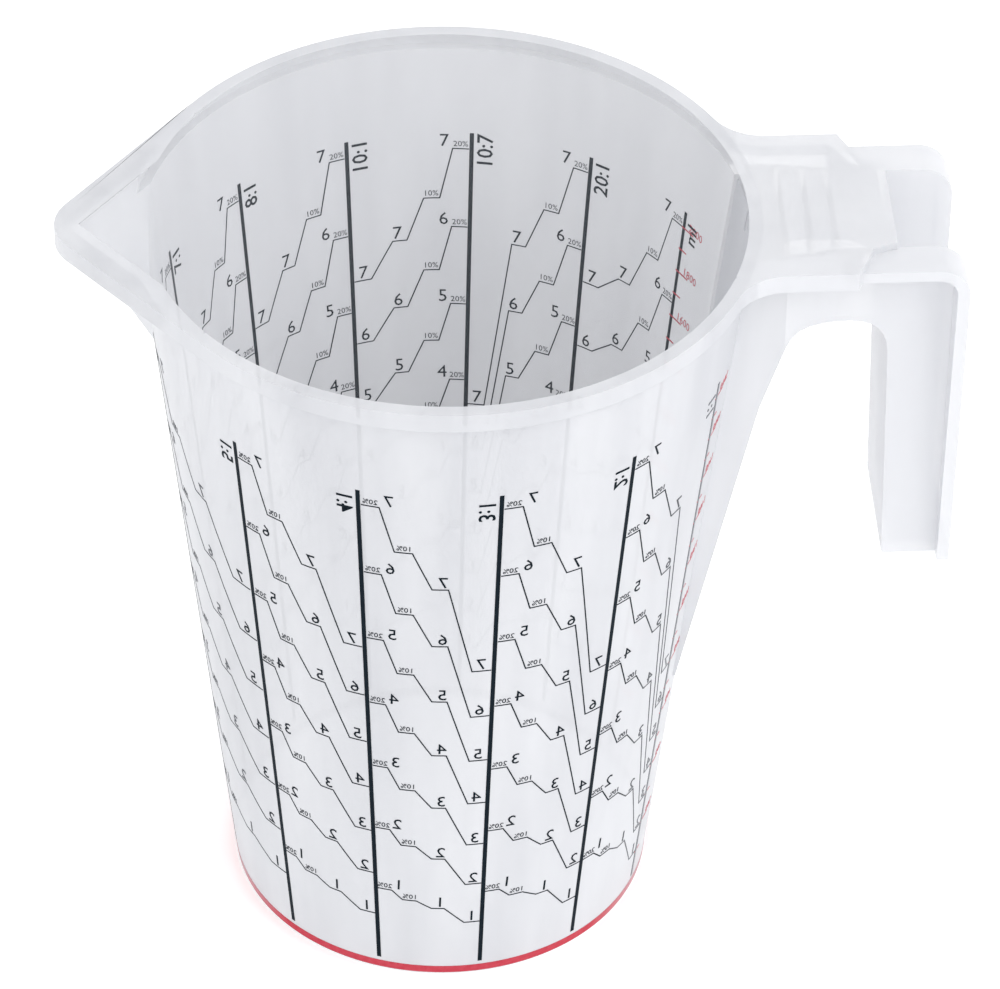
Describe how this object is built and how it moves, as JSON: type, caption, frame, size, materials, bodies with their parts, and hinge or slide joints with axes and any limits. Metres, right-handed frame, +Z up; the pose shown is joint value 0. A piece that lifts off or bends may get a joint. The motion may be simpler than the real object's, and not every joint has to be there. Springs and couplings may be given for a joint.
{
  "type": "mixing jug",
  "caption": "Tapered translucent plastic mixing jug with a pouring spout, an open-ended grip handle and printed ratio bars on the wall.",
  "frame": {"origin": "on the bowl's axis, in the plane of the flat base", "axes": "+Z up along the bowl's axis, +X towards the handle, -X towards the spout"},
  "size_m": [0.2209, 0.154, 0.205],
  "materials": {
    "plastic": "translucent milky polypropylene, satin",
    "red_ink": "screen print",
    "black_ink": "screen print"
  },
  "bodies": {
    "root": {"jug": "plastic", "red_base_band": "red_ink", "bar_1_to_1": "black_ink", "bar_2_to_1": "black_ink", "bar_3_to_1": "black_ink", "bar_4_to_1": "black_ink", "bar_5_to_1": "black_ink", "bar_6_to_1": "black_ink", "bar_7_to_1": "black_ink", "bar_8_to_1": "black_ink", "bar_10_to_1": "black_ink", "bar_10_to_7": "black_ink", "bar_20_to_1": "black_ink", "bar_millilitre": "black_ink"}
  },
  "joints": []
}
